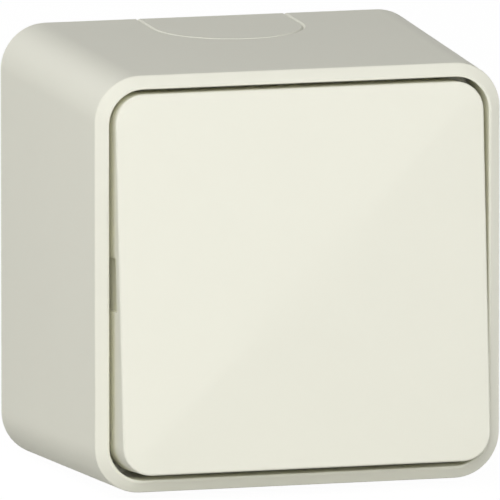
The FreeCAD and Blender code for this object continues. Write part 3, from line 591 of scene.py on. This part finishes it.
def face_ribs(side):
    """An upright and a level rib behind the face, on one side of its middle."""
    half = RIB_THICKNESS / 2
    back = inner_roof - RIB_HEIGHT
    x = side * (ROCKER_HALF_WIDTH - RIB_INSET)
    z = side * (ROCKER_HALF_HEIGHT - RIB_INSET)
    upright_end = inner_height + RIB_INTO_WALL
    level_end = inner_width + RIB_INTO_WALL
    upright_front = roof_depth(abs(x), inner_width) + RIB_INTO_ROOF
    level_front = roof_depth(abs(z), inner_height) + RIB_INTO_ROOF
    return [bar((x - half, back, -upright_end), (x + half, upright_front, upright_end)),
            bar((-level_end, back, z - half), (level_end, level_front, z + half))]


inner_bars = face_ribs(-1) + face_ribs(1)
print("ribs behind the face:", len(inner_bars))

# %% [markdown]
# The rocker snaps on its carrier with two legs at the top and two at the bottom, whose hooks reach
# behind the carrier. A pad beside each leg rests on the carrier's face. All of them, and the ribs,
# become part of the rocker's mesh.

# %% Add the snap legs and pads
CARRIER_BACK = 45.01
CARRIER_FACE = 48.01
LEG_X = 7.5
LEG_IN = 10.6
LEG_WIDTH = 5.0
LEG_WALL = 1.3
LEG_INTO_ROOF = 1.0
HOOK_PLAY = 0.05
HOOK_HEIGHT = 0.8
HOOK_REACH = 0.7
PAD_WIDTH = 4.0
PAD_HEIGHT = 2.2
PAD_INSET = 0.8


def snap_leg(x, side):
    """A leg, its hook and the pad beside it, above or below the middle."""
    hook_front = CARRIER_BACK - HOOK_PLAY
    hook_back = hook_front - HOOK_HEIGHT
    front = roof_depth(LEG_IN, inner_height) + LEG_INTO_ROOF
    outer = LEG_IN + LEG_WALL
    leg = sorted((side * LEG_IN, side * outer))
    hook = sorted((side * (LEG_IN - HOOK_REACH), side * outer))
    pad = sorted((side * (LEG_IN - PAD_INSET - PAD_HEIGHT), side * (LEG_IN - PAD_INSET)))
    left, right = x - LEG_WIDTH / 2, x + LEG_WIDTH / 2
    return [bar((left, hook_back, leg[0]), (right, front, leg[1])),
            bar((left, hook_back, hook[0]), (right, hook_front, hook[1])),
            bar((x - PAD_WIDTH / 2, CARRIER_FACE, pad[0]), (x + PAD_WIDTH / 2, front, pad[1]))]


for x in (-LEG_X, LEG_X):
    for side in (-1, 1):
        inner_bars += snap_leg(x, side)
join(rocker, inner_bars)
print("bars behind the rocker's face:", len(inner_bars))

# %% [markdown]
# The rocker was modelled level. Now it is tipped about its hinge, as the CAD rocker lies at rest
# with its top pressed in. The two boxes printed here, in millimetres, agree to a few hundredths.

# %% Tip the rocker
tip(rocker, (0, -PIVOT_DEPTH * MM, 0), math.radians(-REST_TILT))
settle(rocker, "rocker_moulding")
low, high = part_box("rocker")
print("CAD rocker:", [round(v / MM, 2) for v in (*low, *high)])
places = [vertex.co for vertex in rocker.data.vertices]
print("new rocker:", [round(outermost(co[axis] for co in places) / MM, 2)
                      for outermost in (min, max) for axis in range(3)])

# %% [markdown]
# ## Soft shading and places in the frame
#
# Smooth shading by angle keeps real creases sharp and blends the small arcs. A Weighted Normal
# modifier then lets the big flat faces keep their own direction, so the light changes only across
# the rounded edges. Each piece rides on its body and hides the CAD solid that it stands for.

# %% Shade the mouldings and tie them to their bodies
CREASE_ANGLE = 32

for piece, node, body in ((hood, "hood", "root"), (rocker, "rocker", "rocker_body")):
    pick(piece)
    bpy.ops.object.shade_smooth_by_angle(angle=math.radians(CREASE_ANGLE))
    apply_modifier(piece, "WEIGHTED_NORMAL", keep_sharp=True)
    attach(piece, body)
    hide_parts(node)
    print(piece.name, "rides on", body, "with", len(piece.data.polygons), "faces")

# %% [markdown]
# ## Shader maths in Python
#
# Procedural finishes are sums of noises and masks. Written as nodes they are hard to read, so this
# small class wraps a node's output and lets Python's own signs make the Math nodes. Plus and times,
# with a number on either side, are all that these finishes need.

# %% Nodes as values
class Value:
    """A node output that can be added and multiplied."""

    def __init__(self, finish, socket):
        self.finish = finish
        self.socket = socket

    def combine(self, operation, first, second):
        return self.finish.make("Math", {"operation": operation}, {0: first, 1: second})

    def __add__(self, other):
        return self.combine("ADD", self, other)

    def __radd__(self, other):
        return self.combine("ADD", other, self)

    def __mul__(self, other):
        return self.combine("MULTIPLY", self, other)

    def __rmul__(self, other):
        return self.combine("MULTIPLY", other, self)


print("values can be added and multiplied")

# %% [markdown]
# Every other node comes from one `make` method, which sets a node's options first and then its
# sockets. A finish is a material with its surface shader, and a few patterns that are used often.

# %% A finish under construction
class Finish:
    """A material under construction, with its surface shader."""

    def __init__(self, name, roughness=0.5, metallic=0.0, specular=0.5):
        self.material = bpy.data.materials.new(name)
        self.material.use_nodes = True
        self.tree = self.material.node_tree
        self.shader = self.tree.nodes["Principled BSDF"]
        self.shader.inputs["Roughness"].default_value = roughness
        self.shader.inputs["Metallic"].default_value = metallic
        self.shader.inputs["Specular IOR Level"].default_value = specular

    def make(self, kind, settings=None, inputs=None, output=0):
        """One node: its settings, then the values or links of its sockets, and its output."""
        node = self.tree.nodes.new("ShaderNode" + kind)
        for key, value in (settings or {}).items():
            setattr(node, key, value)
        for key, value in (inputs or {}).items():
            self.feed(node.inputs[key], value)
        return Value(self, node.outputs[output])

    def feed(self, socket, value):
        """Links a node's output to a socket, or sets the socket's own value."""
        if isinstance(value, Value):
            self.tree.links.new(value.socket, socket)
        else:
            socket.default_value = value

    def surface(self, **sockets):
        """Feeds the surface shader. Base_Color stands for the socket Base Color."""
        for key, value in sockets.items():
            self.feed(self.shader.inputs[key.replace("_", " ")], value)

    def places(self):
        """Object coordinates, in metres."""
        return self.make("TexCoord", output=3)

    def noise(self, scale, detail=2.0, roughness=0.5, places=None):
        """Cloudy pattern between 0 and 1, whose blobs are 1 / scale metres."""
        return self.make("TexNoise", {"noise_dimensions": "3D"},
                         {"Vector": places or self.places(), "Scale": scale,
                          "Detail": detail, "Roughness": roughness})

    def mix(self, share, first, second):
        """Colour between two colours."""
        return self.make("Mix", {"data_type": "RGBA"}, {0: share, 6: first, 7: second}, output=2)

    def band(self, value, low, high):
        """0 below low, 1 above high, and a smooth step between."""
        return self.make("MapRange", {"interpolation_type": "SMOOTHSTEP"},
                         {"Value": value, "From Min": low, "From Max": high})

    def bump(self, height, distance):
        """Surface relief from a height pattern, with its height in metres."""
        return self.make("Bump", None, {"Height": height, "Distance": distance})


print("a finish makes noise, mix, band and bump nodes")

# %% [markdown]
# Blender's sockets hold linear light, and the colours that an image shows are not linear. So each
# colour is written as an image shows it, from 0 to 255, and turned into linear light here.

# %% Colours as an image shows them
def colour(red, green, blue):
    """Linear colour from the red, green and blue that an image shows, 0 to 255."""
    levels = []
    for level in (red, green, blue):
        share = level / 255
        levels.append(share / 12.92 if share <= 0.04045 else ((share + 0.055) / 1.055) ** 2.4)
    return (*levels, 1)


print("a middle grey of 128 is", round(colour(128, 128, 128)[0], 3), "in linear light")

# %% [markdown]
# ## Cream plastic
#
# The hood and rocker are satin cream plastic. Up close such a moulding has a fine grain from the
# spark-eroded tool, faint flow clouds in its colour, and a sheen that is a little uneven. All three
# are noises of different scale: too strong and the part looks like stone, so the steps are small.
# The base and the insert are mouldings too, a little coarser, so one function makes all three.

# %% Make the plastics
CLOUDS = 55
FLOW_LINES = 210
SHEEN_SPOTS = 700
COARSE_GRAIN = 1500
FINE_GRAIN = 4200
SHEEN_SPREAD = 0.08


def moulded_plastic(name, light, dark, roughness, grain, specular):
    """Moulded plastic with flow clouds, an uneven sheen and a fine grain."""
    finish = Finish(name, specular=specular)
    clouds = finish.noise(CLOUDS, detail=3)
    flow = finish.noise(FLOW_LINES)
    share = finish.band(0.7 * clouds + 0.3 * flow, 0.3, 0.7)
    sheen = finish.noise(SHEEN_SPOTS)
    fine = finish.noise(FINE_GRAIN)
    coarse = finish.noise(COARSE_GRAIN, detail=1)
    smoothest = roughness - SHEEN_SPREAD / 2
    finish.surface(Base_Color=finish.mix(share, dark, light),
                   Roughness=smoothest + SHEEN_SPREAD * (0.5 * sheen + 0.5 * clouds),
                   Normal=finish.bump(0.6 * fine + 0.4 * coarse, grain))
    return finish.material


cream = moulded_plastic("cream_plastic",
                        light=colour(238.7, 238.0, 224.3), dark=colour(238.1, 237.4, 223.7),
                        roughness=0.55, grain=2.5e-6, specular=0.12)
base_cream = moulded_plastic("base_plastic_matt",
                             light=colour(229, 227, 215), dark=colour(223, 221, 208),
                             roughness=0.6, grain=6e-6, specular=0.3)
insert_grey = moulded_plastic("insert_plastic_grey",
                              light=colour(204, 205, 203), dark=colour(196, 197, 195),
                              roughness=0.55, grain=5e-6, specular=0.35)
print("plastics:", cream.name, base_cream.name, insert_grey.name)

# %% [markdown]
# ## Metals
#
# Zinc plated steel is bluish grey with a mottled sheen and fine drawn lines, brass sheet is warmer
# and slightly tarnished, and the silver contact buttons are the brightest. Metal takes its look
# from its roughness, so the mottling goes mainly there and only a little into the colour.

# %% Make the metals
MOTTLE = 900
DRAWN_LINES = 300
LINE_STRETCH = 0.12


def plated_metal(name, light, dark, smooth, rough, line_scale, relief):
    """Metal with a mottled sheen, fine drawn lines and a shallow relief."""
    finish = Finish(name, metallic=1.0)
    mottle = finish.noise(MOTTLE, detail=4, roughness=0.6)
    stretch = (line_scale, 1.0, LINE_STRETCH * line_scale)
    drawn = finish.make("Mapping", {"vector_type": "POINT"},
                        {"Vector": finish.places(), "Scale": stretch})
    lines = finish.noise(DRAWN_LINES, detail=3, roughness=0.7, places=drawn)
    spots = finish.band(mottle, 0.4, 0.66)
    finish.surface(Base_Color=finish.mix(spots, light, dark),
                   Roughness=smooth + (rough - smooth) * (0.6 * spots + 0.4 * lines),
                   Normal=finish.bump(0.7 * lines + 0.3 * mottle, relief))
    return finish.material


zinc_steel = plated_metal("zinc_steel",
                          light=colour(205, 207, 210), dark=colour(180, 182, 186),
                          smooth=0.26, rough=0.42, line_scale=14, relief=4e-6)
brass_sheet = plated_metal("brass_sheet",
                           light=colour(219, 184, 112), dark=colour(186, 148, 80),
                           smooth=0.24, rough=0.46, line_scale=10, relief=3e-6)
silver_button = plated_metal("silver_button",
                             light=colour(228, 228, 224), dark=colour(208, 207, 202),
                             smooth=0.18, rough=0.34, line_scale=6, relief=2e-6)
print("metals:", zinc_steel.name, brass_sheet.name, silver_button.name)

# %% [markdown]
# ## Dressing the pieces
#
# The record names a material slot for every CAD node, so a table from slot to finish dresses them
# all at once. The two new mouldings get the cream plastic as well.

# %% Give every piece its finish
FINISHES = {
    "white_plastic": cream,
    "base_plastic": base_cream,
    "insert_plastic": insert_grey,
    "steel": zinc_steel,
    "brass": brass_sheet,
    "silver": silver_button,
}
for part in frame["record"]["subparts"]:
    for slot in frame["nodes"][part["node"]].material_slots:
        slot.material = FINISHES[part["material_slot"]]
for piece in (hood, rocker):
    piece.data.materials.clear()
    piece.data.materials.append(cream)

# %% [markdown]
# ## Floor and background
#
# The picture shows the switch against pure white. Pushing the lamps until the floor burns out would
# bleach the switch too, so the white is given only to the rays that show a background: those from
# the camera, and those in a reflection or through glass. All other rays meet a calm grey world. The
# floor mixes the same white with a plain pale surface, so it still keeps a soft shadow.

# %% Make the floor
FLOOR_SIZE = 6.0
FLOOR_Z = -BACK_WIDTH / 2 * MM
FLOOR_WHITE = 0.90
FLOOR_GLOW = 1.08


def background_rays(tree):
    """A socket that is 1 for rays that show the background, and 0 for rays that carry light."""
    path = tree.nodes.new("ShaderNodeLightPath")
    found = path.outputs["Is Camera Ray"]
    for name in ("Is Glossy Ray", "Is Transmission Ray"):
        larger = tree.nodes.new("ShaderNodeMath")
        larger.operation = "MAXIMUM"
        tree.links.new(found, larger.inputs[0])
        tree.links.new(path.outputs[name], larger.inputs[1])
        found = larger.outputs[0]
    return found


clear_selection()
bpy.ops.mesh.primitive_plane_add(size=FLOOR_SIZE, location=(0, 0, FLOOR_Z))
floor = settle(bpy.context.object, "pale_floor")
floor_finish = Finish("pale_floor", roughness=0.9, specular=0.1)
floor_finish.surface(Base_Color=colour(190, 190, 188))
white = floor_finish.make("Emission", None, {"Color": (1, 1, 1, 1), "Strength": FLOOR_GLOW})
plain = Value(floor_finish, floor_finish.shader.outputs[0])
seen = Value(floor_finish, background_rays(floor_finish.tree))
shown = floor_finish.make("MixShader", None, {0: FLOOR_WHITE * seen, 1: plain, 2: white})
floor_finish.feed(floor_finish.tree.nodes["Material Output"].inputs["Surface"], shown)
floor.data.materials.append(floor_finish.material)
print("floor at z = %.4f m" % FLOOR_Z)

# %% [markdown]
# The world does the same with two backgrounds, a dim one that lights the switch and a white one to
# be seen. Light that falls into the pale gap round the rocker is thrown on many times before it
# comes out again, so the paths get more diffuse bounces than the four that Blender starts with.

# %% Make the world
WORLD_LIGHT = 0.08
WORLD_WHITE = 1.0
GAP_BOUNCES = 12

world = bpy.data.worlds.new("studio")
bpy.context.scene.world = world
world.use_nodes = True
tree = world.node_tree
tree.nodes.clear()
choice = tree.nodes.new("ShaderNodeMixShader")
tree.links.new(background_rays(tree), choice.inputs[0])
for number, strength in ((1, WORLD_LIGHT), (2, WORLD_WHITE)):
    shade = tree.nodes.new("ShaderNodeBackground")
    shade.inputs["Color"].default_value = (1, 1, 1, 1)
    shade.inputs["Strength"].default_value = strength
    tree.links.new(shade.outputs[0], choice.inputs[number])
output = tree.nodes.new("ShaderNodeOutputWorld")
tree.links.new(choice.outputs[0], output.inputs["Surface"])
bpy.context.scene.cycles.diffuse_bounces = GAP_BOUNCES
print("world light %.2f, seen as %.1f" % (WORLD_LIGHT, WORLD_WHITE))

# %% [markdown]
# ## Lamps
#
# The even light of the picture comes from big soft boxes. A key box stands above the camera to its
# left with a higher one over it, and one beside the camera lightens the gaps. One at the left, one at
# the right and one behind light the sides. Their strengths set how much brighter the left side is
# than the top, and how the four slopes of the rocker differ. Each is an area lamp that looks at the
# switch.

# %% Add the soft boxes
# Name, direction, distance and size in metres, power in watts.
LAMPS = (
    ("key_box", (-0.37, -0.80, 0.50), 1.20, 0.50, 2.96),
    ("high_key", (-0.50, -0.55, 0.80), 1.20, 0.50, 1.09),
    ("left_box", (-0.87, -0.42, 0.30), 0.80, 0.45, 1.47),
    ("camera_box", (-0.30, -0.95, 0.25), 1.20, 0.30, 4.19),
    ("right_box", (0.80, -0.60, 0.10), 0.90, 0.45, 3.10),
    ("back_box", (-0.40, 0.75, 0.52), 0.90, 0.50, 1.93),
)


def add_lamp(name, direction, distance, size, power):
    """Square soft box that looks at the switch from a direction."""
    clear_selection()
    place = Vector(direction).normalized() * distance
    bpy.ops.object.light_add(type="AREA", location=place)
    lamp = bpy.context.object
    lamp.name = name
    lamp.data.shape = "SQUARE"
    lamp.data.size = size
    lamp.data.energy = power
    lamp.rotation_euler = place.to_track_quat("Z", "Y").to_euler()
    lamp.visible_camera = False


for lamp in LAMPS:
    add_lamp(*lamp)
print("lamps:", [lamp[0] for lamp in LAMPS])

# %% [markdown]
# ## Camera
#
# The photograph was taken from a little left of the front and slightly above, with a long lens: the
# edges that run back to the wall stay almost parallel. The angle and the distance were fitted to the
# outline of the hood and the rim, and the aim is moved so that the crop matches as well. The lens is
# worked out from how many pixels a millimetre of the switch takes in the picture.

# %% Place the camera
CAMERA_LEFT = 16.0
CAMERA_UP = 8.758
CAMERA_DISTANCE = 3250.0
AIM_RIGHT = 6.068
AIM_UP = -2.893
PIXELS_PER_MM = 6.5
PICTURE_PIXELS = 500
SENSOR_WIDTH = 36
SEEN_FROM = 100.0
SEEN_TO = 30000.0

around, above = math.radians(CAMERA_LEFT), math.radians(CAMERA_UP)
right = Vector((math.cos(around), -math.sin(around), 0))
up = Vector((math.sin(around) * math.sin(above), math.cos(around) * math.sin(above), math.cos(above)))
back = right.cross(up)
place = (CAMERA_DISTANCE * back + AIM_RIGHT * right + AIM_UP * up) * MM
clear_selection()
bpy.ops.object.camera_add()
camera = bpy.context.object
camera.name = "photo_camera"
camera.matrix_world = Matrix((right, up, back)).transposed().to_4x4()
camera.matrix_world.translation = place
camera.data.sensor_width = SENSOR_WIDTH
camera.data.lens = SENSOR_WIDTH * CAMERA_DISTANCE * PIXELS_PER_MM / PICTURE_PIXELS
camera.data.clip_start = SEEN_FROM * MM
camera.data.clip_end = SEEN_TO * MM
bpy.context.scene.camera = camera
bpy.context.scene.view_settings.view_transform = "Standard"
print("camera lens %.0f mm at" % camera.data.lens, [round(v, 3) for v in place])
